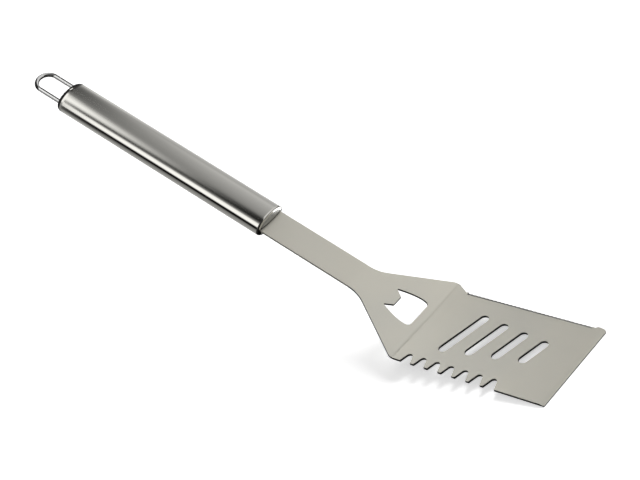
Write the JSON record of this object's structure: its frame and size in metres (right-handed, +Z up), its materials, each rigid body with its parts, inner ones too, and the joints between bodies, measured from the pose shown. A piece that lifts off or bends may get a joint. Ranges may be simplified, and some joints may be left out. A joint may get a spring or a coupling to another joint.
{
  "type": "barbecue spatula",
  "caption": "Slotted turner blade with a saw edge, a scalloped edge and a bottle opener in its shoulder, on a flat stem with a tube handle and a wire hanging loop.",
  "frame": {"origin": "on the surface that the flat blade rests on, below the middle of the whole length and of the blade's width", "axes": "+X along the spatula towards the blade's front edge, +Y towards the saw edge, +Z up out of the blade, on the side that the handle rises to"},
  "size_m": [0.491, 0.0848, 0.1557],
  "materials": {
    "blade_steel": "satin",
    "handle_steel": "fine satin, soft mirror",
    "plug_steel": "dull",
    "wire_steel": "polished",
    "weld_steel": "as welded"
  },
  "bodies": {
    "root": {"turner_blade": "blade_steel", "handle_tube": "handle_steel", "front_plug": "plug_steel", "rear_cap": "handle_steel", "hanging_loop": "wire_steel", "tang_welds": "weld_steel", "loop_welds": "weld_steel"}
  },
  "joints": []
}
